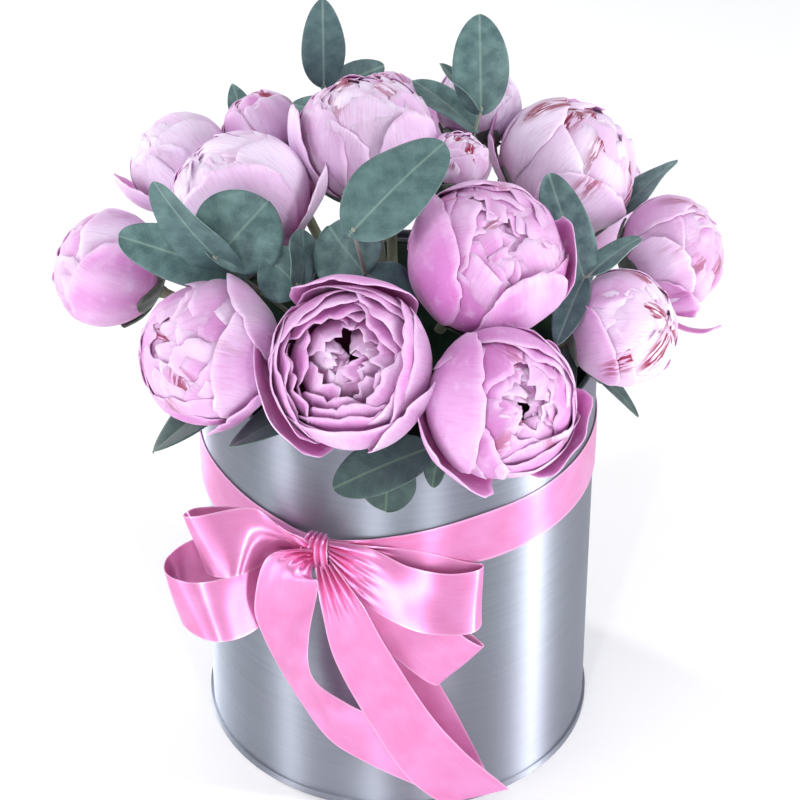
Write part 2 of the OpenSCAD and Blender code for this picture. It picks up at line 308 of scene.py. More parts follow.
class Build:
    """Collects thin closed shells and tubes, in millimetres, into one mesh."""

    def __init__(self):
        self.verts, self.faces, self.uvs, self.tints = [], [], [], []
        self.count = 0

    def add(self, verts, faces, uvs, tints):
        self.verts.append(verts)
        self.uvs.append(uvs)
        self.tints.append(tints)
        self.faces.extend((face + self.count).tolist() for face in faces)
        self.count += len(verts)

    def shell(self, grid, thickness, uv, tint_out, tint_in):
        """A sheet of an (n, m, 3) grid of points, closed all round."""
        n, m, _ = grid.shape
        du = np.gradient(grid, axis=0)
        dv = np.gradient(grid, axis=1)
        normal = unit(np.cross(du, dv))
        top = (grid + normal * thickness / 2).reshape(-1, 3)
        bottom = (grid - normal * thickness / 2).reshape(-1, 3)
        i, j = np.meshgrid(np.arange(n - 1), np.arange(m - 1), indexing="ij")
        a = (i * m + j).ravel()
        quads = np.stack([a, a + m, a + m + 1, a + 1], axis=1)
        k = n * m
        rim = np.concatenate([
            np.arange(m),
            np.arange(1, n) * m + m - 1,
            (n - 1) * m + np.arange(m - 2, -1, -1),
            np.arange(n - 2, 0, -1) * m,
        ])
        after = np.roll(rim, -1)
        edge = np.stack([rim, after, after + k, rim + k], axis=1)
        faces = np.concatenate([quads, quads[:, ::-1] + k, edge])
        uvs = np.concatenate([uv.reshape(-1, 2)] * 2)
        tints = np.concatenate([tint_out.reshape(-1, 4), tint_in.reshape(-1, 4)])
        self.add(np.concatenate([top, bottom]), faces, uvs, tints)

    def tube(self, line, radii, tint, sides=14):
        """A round rod along line, closed at both ends."""
        line = np.asarray(line, float)
        radii = np.broadcast_to(radii, len(line)).astype(float)
        along = unit(np.gradient(line, axis=0))
        helper = np.array([0, 0, 1.0]) if abs(along[0][2]) < 0.9 else np.array([1.0, 0, 0])
        side = unit(np.cross(along, helper))
        other = np.cross(along, side)
        turn = np.linspace(0, 2 * math.pi, sides, endpoint=False)
        ring = side[:, None] * np.cos(turn)[None, :, None] + other[:, None] * np.sin(turn)[None, :, None]
        body = line[:, None] + ring * radii[:, None, None]
        n = len(line)
        verts = np.vstack([body.reshape(-1, 3), line[:1], line[-1:]])
        i, j = np.meshgrid(np.arange(n - 1), np.arange(sides), indexing="ij")
        a = (i * sides + j).ravel()
        b = (i * sides + (j + 1) % sides).ravel()
        faces = list(np.stack([a, a + sides, b + sides, b], axis=1))
        for s in range(sides):
            t = (s + 1) % sides
            faces.append(np.array([n * sides, s, t]))
            faces.append(np.array([n * sides + 1, (n - 1) * sides + t, (n - 1) * sides + s]))
        length = np.concatenate([[0], np.cumsum(np.linalg.norm(np.diff(line, axis=0), axis=1))])
        uv = np.zeros((len(verts), 2))
        uv[: n * sides, 0] = np.tile(turn, n)
        uv[: n * sides, 1] = np.repeat(length, sides)
        self.add(verts, faces, uv, np.tile(np.asarray(tint, float), (len(verts), 1)))

    def make(self, name, material, body, replaced, sharp=None):
        mesh = bpy.data.meshes.new(name)
        verts = np.concatenate(self.verts) * MM
        mesh.from_pydata(verts.tolist(), [], self.faces)
        loops = np.zeros(len(mesh.loops), np.int32)
        mesh.loops.foreach_get("vertex_index", loops)
        layer = mesh.uv_layers.new(name="UVMap")
        layer.data.foreach_set("uv", np.concatenate(self.uvs)[loops].ravel().astype(np.float32))
        tint = mesh.color_attributes.new("tint", "FLOAT_COLOR", "POINT")
        tint.data.foreach_set("color", np.concatenate(self.tints).ravel().astype(np.float32))
        mesh.shade_smooth()
        if sharp:
            mesh.set_sharp_from_angle(angle=math.radians(sharp))
        mesh.materials.append(material)
        mesh.update()
        piece = bpy.data.objects.new(name, mesh)
        bpy.context.scene.collection.objects.link(piece)
        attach(piece, body)
        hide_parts(*replaced)
        return piece


# ---------------------------------------------------------------- materials

class Nodes:
    """Short names for building a shader's nodes."""

    def __init__(self, name):
        self.material = bpy.data.materials.new(name)
        self.material.use_nodes = True
        self.tree = self.material.node_tree
        self.shader = self.tree.nodes["Principled BSDF"]

    def new(self, kind, **values):
        node = self.tree.nodes.new(kind)
        for key, value in values.items():
            if hasattr(node, key):
                setattr(node, key, value)
            else:
                node.inputs[key.replace("_", " ")].default_value = value
        return node

    def link(self, out, socket):
        self.tree.links.new(out, socket)

    def set(self, **values):
        for key, value in values.items():
            self.shader.inputs[key.replace("_", " ")].default_value = value

    def maths(self, operation, a, b=None):
        node = self.new("ShaderNodeMath", operation=operation)
        for k, value in enumerate((a, b)):
            if value is None:
                continue
            if isinstance(value, (int, float)):
                node.inputs[k].default_value = value
            else:
                self.link(value, node.inputs[k])
        return node.outputs[0]

    def mix(self, factor, a, b):
        node = self.new("ShaderNodeMix", data_type="RGBA")
        for socket, value in ((node.inputs[0], factor), (node.inputs[6], a), (node.inputs[7], b)):
            if isinstance(value, (int, float)):
                socket.default_value = value
            elif isinstance(value, (tuple, list, np.ndarray)):
                socket.default_value = (*[float(x) for x in value[:3]], 1)
            else:
                self.link(value, socket)
        return node.outputs[2]

    def ramp(self, value, low, high):
        """Smooth rise from 0 at low to 1 at high."""
        node = self.new("ShaderNodeMapRange", interpolation_type="SMOOTHSTEP")
        self.link(value, node.inputs[0])
        node.inputs[1].default_value = low
        node.inputs[2].default_value = high
        return node.outputs[0]

    def noise(self, vector, scale, detail=3.0, roughness=0.5):
        node = self.new("ShaderNodeTexNoise", Scale=scale, Detail=detail, Roughness=roughness)
        if vector is not None:
            self.link(vector, node.inputs["Vector"])
        return node.outputs["Fac"]

    def scaled(self, vector, x, y, z=1.0):
        node = self.new("ShaderNodeMapping")
        node.inputs["Scale"].default_value = (x, y, z)
        self.link(vector, node.inputs["Vector"])
        return node.outputs[0]

    def bump(self, height, strength, distance):
        node = self.new("ShaderNodeBump", Strength=strength, Distance=distance)
        self.link(height, node.inputs["Height"])
        self.link(node.outputs[0], self.shader.inputs["Normal"])

    def uv(self):
        return self.new("ShaderNodeUVMap", uv_map="UVMap").outputs[0]

    def tint(self):
        return self.new("ShaderNodeAttribute", attribute_name="tint").outputs


def brushed_metal():
    """Tinplate brushed round the box, its gloss drawn out upright."""
    n = Nodes("brushed_metal")
    place = n.new("ShaderNodeNewGeometry").outputs["Position"]
    split = n.new("ShaderNodeSeparateXYZ")
    n.link(place, split.inputs[0])
    angle = n.maths("ARCTAN2", split.outputs[0], split.outputs[1])
    joined = n.new("ShaderNodeCombineXYZ")
    n.link(angle, joined.inputs[0])
    n.link(split.outputs[2], joined.inputs[1])
    fine = n.noise(n.scaled(joined.outputs[0], 2.0, 3600.0), 1.0, 2.0)
    broad = n.noise(n.scaled(joined.outputs[0], 0.7, 420.0), 1.0, 3.0)
    cloudy = n.noise(place, 7.0, 2.0)
    lines = n.maths("ADD", n.maths("MULTIPLY", fine, 0.6), n.maths("MULTIPLY", broad, 0.4))
    colour = n.mix(n.ramp(lines, 0.3, 0.7), rgb(158, 165, 177), rgb(172, 178, 190))
    colour = n.mix(n.maths("MULTIPLY", n.ramp(cloudy, 0.35, 0.7), 0.5), colour, rgb(160, 158, 172))
    n.link(colour, n.shader.inputs["Base Color"])
    rough = n.new("ShaderNodeMapRange")
    n.link(lines, rough.inputs[0])
    rough.inputs[3].default_value = 0.50
    rough.inputs[4].default_value = 0.58
    n.link(rough.outputs[0], n.shader.inputs["Roughness"])
    n.set(Metallic=1.0, Anisotropic=0.95, Anisotropic_Rotation=0.25)
    tangent = n.new("ShaderNodeTangent", direction_type="RADIAL", axis="Z")
    n.link(tangent.outputs[0], n.shader.inputs["Tangent"])
    n.bump(lines, 0.06, 0.0002)
    return n.material


def satin():
    """Tint holds: red 1 in the trough of a pleat, for painted shade, green 1 along the edges, for a painted
    highlight.
    """
    n = Nodes("satin_ribbon")
    uv = n.uv()
    threads = n.noise(n.scaled(uv, 5.0, 0.06), 1.0, 1.0)
    weft = n.noise(n.scaled(uv, 0.3, 6.0), 1.0, 1.0)
    cloudy = n.noise(uv, 0.05, 2.0)
    colour = n.mix(n.ramp(cloudy, 0.3, 0.7), rgb(222, 126, 184), rgb(226, 142, 200))
    colour = n.mix(n.maths("MULTIPLY", n.ramp(threads, 0.35, 0.65), 0.2), colour, rgb(246, 182, 226))
    split = n.new("ShaderNodeSeparateColor")
    n.link(n.tint()["Color"], split.inputs[0])
    # Painted shade: deeper pink in the troughs of pleats and creases, from tint red
    colour = n.mix(split.outputs[0], colour, rgb(232, 98, 160))
    # Painted highlight: near white pink along the edges, from tint green
    colour = n.mix(n.maths("MULTIPLY", split.outputs[1], 0.6), colour, rgb(252, 206, 238))
    n.link(colour, n.shader.inputs["Base Color"])
    n.set(Metallic=0.6, Roughness=0.36, Specular_IOR_Level=1.0, Sheen_Weight=0.3, Sheen_Roughness=0.3)
    n.set(Anisotropic=0.95)
    tangent = n.new("ShaderNodeTangent", direction_type="UV_MAP", uv_map="UVMap")
    n.link(tangent.outputs[0], n.shader.inputs["Tangent"])
    n.shader.inputs["Sheen Tint"].default_value = (0.9, 0.8, 1.0, 1)
    height = n.maths("ADD", threads, n.maths("MULTIPLY", weft, 0.5))
    n.bump(height, 0.08, 0.0001)
    return n.material


def petal_skin():
    """Tint holds the petal's colour, and in alpha how much crimson may streak it."""
    n = Nodes("petals")
    uv = n.uv()
    tint = n.tint()
    veins = n.noise(n.scaled(uv, 1.1, 0.07), 1.0, 4.0, 0.6)
    blotch = n.noise(uv, 0.12, 3.0)
    colour = n.mix(n.maths("MULTIPLY", n.ramp(veins, 0.42, 0.75), 0.30), tint["Color"], ROSE)
    colour = n.mix(n.maths("MULTIPLY", n.ramp(blotch, 0.5, 0.8), 0.35), colour, PALE)
    streak = n.noise(n.scaled(uv, 0.5, 0.06), 1.0, 3.0, 0.6)
    mask = n.maths("MULTIPLY", n.ramp(streak, 0.42, 0.54), n.ramp(tint["Alpha"], 0.1, 0.7))
    colour = n.mix(mask, colour, CRIMSON)
    n.link(colour, n.shader.inputs["Base Color"])
    n.set(Roughness=0.52, Specular_IOR_Level=0.35, Sheen_Weight=0.25, Sheen_Roughness=0.4)
    n.shader.inputs["Sheen Tint"].default_value = (1.0, 0.9, 1.0, 1)
    n.set(Subsurface_Weight=0.22, Subsurface_Scale=0.004)
    n.shader.inputs["Subsurface Radius"].default_value = (1.0, 0.45, 0.7)
    n.bump(veins, 0.35, 0.0006)
    return n.material


def leaf_skin(name, top, top_dark, under, vein):
    """Tint holds: red 1 on the underside, green the random shade of the leaf, blue 1 on a stalk."""
    n = Nodes(name)
    uv = n.uv()
    split = n.new("ShaderNodeSeparateColor")
    n.link(n.tint()["Color"], split.inputs[0])
    place = n.new("ShaderNodeSeparateXYZ")
    n.link(uv, place.inputs[0])
    across = n.maths("ABSOLUTE", place.outputs[0])
    midrib = n.maths("SUBTRACT", 1.0, n.ramp(across, 0.25, 0.9))
    wobble = n.noise(uv, 0.25, 2.0)
    phase = n.maths("SUBTRACT", place.outputs[1], n.maths("MULTIPLY", across, 0.75))
    phase = n.maths("ADD", phase, n.maths("MULTIPLY", wobble, 4.0))
    wave = n.maths("SINE", n.maths("MULTIPLY", phase, 1.25))
    side_veins = n.maths("MULTIPLY", n.ramp(wave, 0.9, 1.0), 0.12)
    veins = n.maths("MAXIMUM", n.maths("MULTIPLY", midrib, 0.6), side_veins)
    bloom = n.noise(uv, 0.11, 3.0)
    colour = n.mix(n.ramp(bloom, 0.3, 0.75), top_dark, top)
    colour = n.mix(split.outputs[1], colour, top_dark)
    speckle = n.noise(uv, 1.6, 2.0)
    colour = n.mix(n.maths("MULTIPLY", n.ramp(speckle, 0.5, 0.8), 0.2), colour, under)
    colour = n.mix(n.maths("MULTIPLY", veins, 0.6), colour, vein)
    below = n.mix(n.maths("MULTIPLY", veins, 0.35), under, vein)
    colour = n.mix(split.outputs[0], colour, below)
    colour = n.mix(split.outputs[2], colour, n.mix(bloom, vein, rgb(120, 96, 78)))
    n.link(colour, n.shader.inputs["Base Color"])
    n.set(Roughness=0.5, Specular_IOR_Level=0.4, Sheen_Weight=0.15)
    n.bump(n.maths("SUBTRACT", bloom, n.maths("MULTIPLY", veins, 0.8)), 0.3, 0.0006)
    return n.material


def shaded_foam_skin():
    n = Nodes("foam")
    place = n.new("ShaderNodeNewGeometry").outputs["Position"]
    pores = n.noise(place, 900.0, 3.0, 0.7)
    crumbs = n.noise(place, 160.0, 3.0)
    # Painted shade: the foam is coloured near black-green for the deep shade between the heads, mottled by
    # pores and crumbs
    colour = n.mix(pores, rgb(18, 34, 26), rgb(34, 56, 40))
    colour = n.mix(n.maths("MULTIPLY", n.ramp(crumbs, 0.45, 0.7), 0.5), colour, rgb(14, 26, 24))
    n.link(colour, n.shader.inputs["Base Color"])
    n.set(Roughness=0.95, Specular_IOR_Level=0.1)
    n.bump(pores, 0.8, 0.0012)
    return n.material


def liner_skin():
    n = Nodes("liner")
    place = n.new("ShaderNodeNewGeometry").outputs["Position"]
    crinkle_height_and_shade = n.noise(n.scaled(place, 30.0, 30.0, 6.0), 1.0, 4.0, 0.6)
    # Painted shade: the film is greyer in the hollows of its crinkles than on their ridges
    colour = n.mix(crinkle_height_and_shade, rgb(150, 158, 164), rgb(196, 203, 208))
    n.link(colour, n.shader.inputs["Base Color"])
    n.set(Roughness=0.32, Specular_IOR_Level=0.5)
    n.bump(crinkle_height_and_shade, 0.5, 0.002)
    return n.material


METAL = brushed_metal()
SATIN = satin()
PETALS = petal_skin()
EUCALYPTUS = leaf_skin(
    "eucalyptus",
    top=rgb(112, 146, 142),
    top_dark=rgb(60, 90, 92),
    under=rgb(150, 176, 168),
    vein=rgb(150, 176, 164),
)
GREENS = leaf_skin(
    "peony_greens",
    top=rgb(78, 106, 98),
    top_dark=rgb(40, 62, 64),
    under=rgb(104, 132, 118),
    vein=rgb(112, 140, 112),
)
SHADED_FOAM = shaded_foam_skin()
LINER = liner_skin()

KEPT_NODES = {"box_wall": METAL, "box_base": METAL, "liner": LINER, "foam_lower": SHADED_FOAM, "foam_upper": SHADED_FOAM}
for name, material in KEPT_NODES.items():
    slots = nodes[name].data.materials
    slots.clear()
    slots.append(material)


# ---------------------------------------------------------------- peonies

def waves(rng, u, v):
    """A smooth random field over a petal, about -1 to 1."""
    total = np.zeros_like(u)
    for k in range(4):
        fu, fv = rng.uniform(0.6, 2.6), rng.uniform(0.5, 2.2)
        total += np.sin(fu * math.pi * u + fv * math.pi * v + rng.uniform(0, 6.3)) / (1 + 0.5 * k)
    return total / 2.2


def lean_matrix(rng, degrees):
    """A small random turn about a level axis."""
    angle, way = math.radians(degrees) * rng.uniform(0.3, 1), rng.uniform(0, 2 * math.pi)
    x, y = math.cos(way), math.sin(way)
    c, q = math.cos(angle), 1 - math.cos(angle)
    k = math.sin(angle)
    return np.array([
        [c + x * x * q, x * y * q, y * k],
        [x * y * q, c + y * y * q, -x * k],
        [-y * k, x * k, c],
    ])


def petal(build, turn, centre, rng, phi, start, end, half, radius, look):
    """One petal wrapped on a ball: from polar angle start at the calyx to end at its tip.

    look may give: grid, ragged, round and notch for the outline; tilt, wave, curl, flare, lift, fold,
    crease, lean and tall for the form; thick; pale, clear, deep and flush for the colour (deep paints shade
    low on the inner petals).
    """
    nu, nv = look.get("grid", (21, 19))
    u, v = np.meshgrid(np.linspace(-1, 1, nu), np.linspace(0, 1, nv) ** 0.85, indexing="ij")
    ragged = look.get("ragged", 0.3)
    outline = 1 - look.get("round", 0.10) * np.abs(u) ** 2.4
    for _ in range(1 + int(2 * ragged)):
        notch = rng.uniform(-0.75, 0.75)
        outline -= look.get("notch", 0.03) * np.maximum(0, 1 - np.abs(u - notch) / 0.14)
    for pitch, size in ((6, 0.016), (11, 0.012), (17, 0.008)):
        outline += ragged * size * np.sin(pitch * u + rng.uniform(0, 6.3))
    theta = np.radians(start + (end - start) * v * outline)
    breadth = 0.34 + 0.66 * smoothstep(0.0, 0.6, v)
    breadth *= 1 - 0.16 * smoothstep(0.82, 1.0, v)
    breadth *= 1 + 0.03 * ragged * np.sin(19 * v + rng.uniform(0, 6.3))
    b = np.radians(half) * breadth * u
    phi = math.radians(phi)
    cp, sp = math.cos(phi), math.sin(phi)
    meridian = np.stack([np.sin(theta) * cp, np.sin(theta) * sp, np.cos(theta)], axis=-1)
    tangent = np.array([-sp, cp, 0.0])
    direction = np.cos(b)[..., None] * meridian + np.sin(b)[..., None] * tangent
    size = radius / PETAL_REFERENCE_R
    field = waves(rng, u, v)
    height = radius * np.ones_like(u)
    height += look.get("tilt", 0.8) * size * u * smoothstep(0.1, 0.6, v)
    height += look.get("wave", 0.6) * size * field * smoothstep(0.05, 0.5, v)
    height += look.get("curl", 0.0) * smoothstep(0.8, 1.0, v) ** 2
    height += look.get("flare", 0.5) * size * smoothstep(0.7, 1.0, np.abs(u)) * smoothstep(0.2, 0.7, v)
    height += look.get("lift", 0.0) * smoothstep(0.25, 1.0, v)
    height -= look.get("fold", 0.0) * np.abs(u - look.get("crease", 0.0)) * smoothstep(0.2, 0.8, v)
    height += ragged * 0.8 * size * np.sin(8 * u + rng.uniform(0, 6.3)) * smoothstep(0.75, 1.0, v)
    points = direction * height[..., None] @ lean_matrix(rng, look.get("lean", 3)).T
    points[..., 2] *= look.get("tall", 0.96)
    one = np.ones_like(u)
    # Tone of the petal's colour: the head's paleness (low on the front heads as painted shade) plus random
    # and wavy variation
    tone = look["pale"] + 0.30 * rng.uniform(-1, 1) + 0.22 * field
    outside = mix(PINK * one[..., None], PALE, np.clip(tone, 0, 1))
    # Rose towards the petal's foot: partly the petal's own deeper base, partly painted shade low among the
    # petals
    outside = mix(outside, ROSE, 0.8 * (1 - smoothstep(0.0, look.get("clear", 0.6), v)))
    # Painted shade: magenta low on the inner layers and in the core
    outside = mix(outside, MAGENTA_SHADE, look.get("deep_shade", 0.0) * (1 - smoothstep(0.55, 0.95, v * outline)))
    # Paler rim on both faces: partly the petal's own pale edge, partly a painted highlight
    rim = np.maximum(smoothstep(0.88, 1.0, np.abs(u)), smoothstep(0.93, 1.0, v))
    outside = mix(outside, PALE, 0.45 * rim)
    # Painted shade on the concave inner face: mauve, turning magenta towards the foot
    inside = mix(mix(MAUVE_SHADE * one[..., None], PINK, 0.3 * one), PALE, 0.4 * rim)
    inside = mix(inside, MAGENTA_SHADE, 0.7 * (1 - smoothstep(0.3, 0.9, v)))
    mark = rng.uniform(-0.8, 0.8)
    flush = look.get("flush", 0.0) * (rng.random() < 0.6)
    spot = flush * np.exp(-((u - mark) / 0.3) ** 2) * smoothstep(0.5, 0.9, v)
    alpha = np.clip(1.4 * spot, 0, 1)[..., None]
    length = radius * math.radians(abs(end - start))
    across = u * math.radians(half) * radius * breadth + 100 * rng.random()
    uv = np.stack([across, v * length], axis=-1)
    world = centre + points @ turn.T
    build.shell(world, look.get("thick", PETAL_T), uv, np.concatenate([outside, alpha], -1),
                np.concatenate([inside, 0.6 * alpha], -1))


def head_frame(az, el):
    """Columns: right, up and out, as seen from outside the bouquet."""
    out = ray(az, el)
    right = np.array([math.cos(math.radians(az)), math.sin(math.radians(az)), 0.0])
    up = np.cross(out, right)
    up = up if up[2] > 0 else -up
    right = np.cross(up, out)
    return np.column_stack([right, up, out])


# Layers of a bloom, outside first: petals, polar angle of the tip shut and open, size shut and open,
# half width
LAYERS = [
    (4, 58, 60, 1.000, 1.00, 60),
    (5, 42, 52, 0.985, 0.97, 52),
    (5, 26, 46, 0.965, 0.91, 47),
    (5, 11, 41, 0.945, 0.84, 44),
    (4, -2, 36, 0.920, 0.74, 44),
    (4, -10, 30, 0.890, 0.63, 40),
]


def bloom(number, row):
    """A whole head: six layers of petals, a ruffled core and the loose outer petals."""
    az, el, reach, radius, opened, pale, crimson, seed, loose = row
    rng = np.random.default_rng(seed)
    turn = head_frame(az, el)
    centre = FOCUS + reach * ray(az, el)
    build = Build()
    for k, (count, shut_tip, open_tip, shut_size, open_size, half) in enumerate(LAYERS):
        s = k / (len(LAYERS) - 1)
        tip = shut_tip + (open_tip - shut_tip) * opened
        size = radius * (shut_size + (open_size - shut_size) * opened) - 0.8
        for i in range(count):
            phi = 360 * i / count + LAYER_TURN * k + rng.uniform(-14, 14)
            look = {
                "pale": pale,
                "tilt": 0.9,
                "wave": 0.5 + 0.8 * s,
                "curl": rng.uniform(-1.6, 0.4) * (1 - opened) + rng.uniform(-0.4, 1.8) * opened,
                "ragged": 0.35 + 0.9 * s,
                "notch": 0.015 + 0.035 * s,
                "lean": 3 + 3 * s,
                # Painted shade, magenta low on the inner layers
                "deep_shade": 0.5 * smoothstep(0.3, 1.0, s) * (0.45 + 0.55 * opened),
                "flush": crimson * (0.6 + 0.4 * s),
            }
            petal(build, turn, centre, rng, phi, PETAL_START, tip + rng.uniform(-7, 9),
                  half + rng.uniform(-6, 6), size + 0.22 * i, look)
    for _ in range(CORE_PETALS if radius > BUD_R else CORE_PETALS_BUD):
        look = {
            "pale": min(1, pale + 0.25),
            "tilt": 0.6,
            "wave": 1.6,
            "curl": rng.uniform(-2, 2.5),
            "fold": rng.uniform(-2, 5),
            "crease": rng.uniform(-0.3, 0.3),
            "ragged": 1.5,
            "notch": 0.06,
            "lean": 10 + 14 * opened,
            # Painted shade, magenta low in the core
            "deep_shade": 0.5,
            "flush": crimson,
            "grid": (17, 15),
        }
        share = rng.uniform(0.30, 0.60) if opened > DEEP_CORE else rng.uniform(0.72, 0.87)
        petal(build, turn, centre, rng, rng.uniform(0, 360), 160, rng.uniform(-4, 26), rng.uniform(26, 44),
              radius * share, look)
    for phi, end, lift, half in loose:
        look = {"pale": pale, "tilt": 0.5, "wave": 0.8, "lift": lift, "curl": 0.8, "notch": 0.03, "lean": 1,
                "flush": 0.4 * crimson, "grid": (23, 23), "round": 0.13}
        petal(build, turn, centre, rng, phi, PETAL_START, end, half, radius + 0.6, look)
    name = f"peony_{number:02d}"
    build.make(name + "_petals", PETALS, name, [name + "_bloom"])


# ---------------------------------------------------------------- leaves and stems

def leaf(build, rng, base, tip, width, roll, fold, arch, full):
    """One leaf blade from base to tip, rolled about its own length, its top turned up and to the front."""
    base, tip = np.asarray(base, float), np.asarray(tip, float)
    line = tip - base
    length = np.linalg.norm(line)
    x = line / length
    base = base - LEAF_OVERRUN * line
    length *= 1 + LEAF_OVERRUN
    y = unit(np.array([-line[1], line[0], 0.0]))
    z = np.cross(x, y)
    r = math.radians(roll)
    y, z = math.cos(r) * y + math.sin(r) * z, math.cos(r) * z - math.sin(r) * y
    if z @ LEAF_FACES < 0:
        y, z = -y, -z
    step = np.linspace(0, 1, 31)
    u, v = np.meshgrid(np.linspace(-1, 1, 17), (1 - np.cos(math.pi * step)) / 2, indexing="ij")
    half = np.maximum(width / 2 * (4 * v * (1 - v)) ** full * (1 + 0.18 * (0.5 - v)), 0.35)
    out = u * half
    side = rng.uniform(-1, 1)
    level = fold * np.abs(out) + arch * np.sin(math.pi * v) * 0.6 - 0.8 * arch * v ** 2
    level += 0.05 * width * np.sin(2.2 * math.pi * v + side) * u
    level += 0.02 * width * np.sin(9 * v + 5 * side) * np.abs(u) ** 3
    grid = base + x * (v * length)[..., None] + y * out[..., None] + z * level[..., None]
    uv = np.stack([out, v * length], axis=-1)
    shade = 0.6 * rng.random()
    upper = np.stack([0 * u, 0 * u + shade, 0 * u, 0 * u + 1], axis=-1)
    lower = upper + (1, 0, 0, 0)
    mirrored = np.cross(x, y) @ z < 0
    if mirrored:
        build.shell(grid, LEAF_T, uv, upper, lower)
    else:
        build.shell(grid, LEAF_T, uv, lower, upper)


def leaves(build, rng, direction, rows):
    """Leaves with their stalks, on the stem that runs from FOCUS along direction."""
    for reach, base, tip, width, roll, fold, arch, full in rows:
        root = FOCUS + reach * direction
        tip = np.array(tip, float)
        begin = root if base is None else np.array(base, float)
        step = unit(tip - begin)
        stalk = begin + 2.5 * step
        middle = (root + stalk) / 2
        start = begin + 1.5 * step
        if base is not None:
            middle = middle - (0.0, 0.0, 1.0)
            start = begin
        build.tube(catmull(np.array([root, middle, stalk]), 6), STALK_R, (0, 0.3, 1, 1), 10)
        leaf(build, rng, start, tip, width, roll, fold, arch, full)


def peony_greens(number, row):
    """Stem, calyx, sepals and leaves of one peony."""
    az, el, reach, radius = row[:4]
    rng = np.random.default_rng(GREENS_SEED + number)
    direction = ray(az, el)
    turn = head_frame(az, el)
    seat = reach - FLAT_SHARE * BLOOM_FILL * radius
    build = Build()
    calyx = [seat - 8, seat - 4, seat - 1, seat + 2]
    steps = np.concatenate([np.linspace(STEM_START, seat - 14, 12), calyx])
    widths = np.full(len(steps), STEM_R)
    widths[-3:] = [0.45 * STEM_R + 0.09 * radius, 0.16 * radius, 0.22 * radius]
    build.tube(FOCUS + steps[:, None] * direction, widths, (0, 0.2, 1, 1), 18)
    centre = FOCUS + reach * direction
    look = {"pale": 0, "tilt": 0.6, "wave": 0.5, "round": 0.45, "notch": 0.0, "thick": SEPAL_T,
            "grid": (11, 13)}
    for k in range(SEPALS):
        phi = 360 / SEPALS * k + rng.uniform(-12, 12)
        sepal(build, turn, centre, rng, phi, rng.uniform(118, 138), rng.uniform(15, 24), radius + 1.2, look)
    leaves(build, rng, direction, PEONY_LEAVES.get(number, []))
    name = f"peony_{number:02d}"
    build.make(name + "_greens", GREENS, name, [name + "_stem"])


def sepal(build, turn, centre, rng, phi, end, half, radius, look):
    """A small green petal on the calyx."""
    keep = Build()
    petal(keep, turn, centre, rng, phi, 172, end, half, radius, look)
    tints = keep.tints[0]
    tints[:] = (0.0, 0.3 + 0.4 * rng.random(), 0.35, 1.0)
    build.add(keep.verts[0], np.array(keep.faces), keep.uvs[0], tints)


def sprig(number, row):
    """One eucalyptus twig with its leaves."""
    az, el, reach, rows = row
    rng = np.random.default_rng(SPRIG_SEED + number)
    direction = ray(az, el)
    build = Build()
    steps = np.linspace(STEM_START, reach, 24)
    line = FOCUS + steps[:, None] * direction
    build.tube(line, np.linspace(TWIG_R, TWIG_TIP_R, 24), (0, 0.2, 1, 1), 12)
    leaves(build, rng, direction, rows)
    name = f"eucalyptus_{number:02d}"
    build.make(name + "_leaves", EUCALYPTUS, name, [name])


for number, row in enumerate(PEONIES, 1):
    bloom(number, row)
    peony_greens(number, row)
for number, row in enumerate(SPRIGS, 1):
    sprig(number, row)


# ---------------------------------------------------------------- ribbon

def swept(stations, pleats, phase, loose=False, steps=14, columns=33):
    """A ribbon through its stations, gathered into pleats where it leaves the knot."""
    middle = catmull(np.array([s[0] for s in stations], float), steps)
    half = catmull(np.array([s[1] for s in stations], float), steps)
    length = np.concatenate([[0], np.cumsum(np.linalg.norm(np.diff(middle, axis=0), axis=1))])
    width = np.linalg.norm(half, axis=1)
    along = unit(np.gradient(middle, axis=0))
    normal = unit(np.cross(along, half))
    u = np.linspace(-1, 1, columns)
    ends = length if loose else np.minimum(length, length[-1] - length)
    squeeze = (1 - smoothstep(0.3, 1.0, width / (RIBBON_W / 2))) * (1 - smoothstep(*PLEAT_FADE, ends))
    folds = np.sin(pleats * math.pi * u[None, :] + phase + 0.6 * length[:, None] / length[-1])
    ripple = 0.35 * np.sin(2.3 * u[None, :] + 0.045 * length[:, None] + phase)
    lift = PLEAT_HEIGHT * squeeze[:, None] * folds + ripple * smoothstep(5, 30, ends)[:, None]
    near_end = smoothstep(length[-1] - 25, length[-1], length)[:, None]
    slide = TAIL_CUT * loose * (u[None, :] + 1) / 2 * near_end
    grid = (middle[:, None] + half[:, None] * u[None, :, None] + normal[:, None] * lift[..., None]
            + along[:, None] * slide[..., None])
    uv = np.stack(np.broadcast_arrays(u[None, :] * RIBBON_W / 2, length[:, None]), axis=-1)
    # Painted shade in the troughs of the pleats
    deep_shade = 0.8 * squeeze[:, None] * np.clip(0.5 - 0.5 * folds, 0, 1)
    # Painted highlight along both edges
    rim = smoothstep(0.93, 1.0, np.abs(u))[None, :] * np.ones_like(deep_shade)
    tint = np.stack([deep_shade, rim, np.zeros_like(deep_shade), np.ones_like(deep_shade)], axis=-1)
    return grid, uv, tint, length[-1]


def ribbon_piece(name, stations, pleats, phase, loose=False):
    grid, uv, tint, length = swept(stations, pleats, phase, loose)
    build = Build()
    build.shell(grid, RIBBON_T, uv, tint, tint)
    piece = build.make("satin_" + name, SATIN, "box", [name], RIBBON_SHARP)


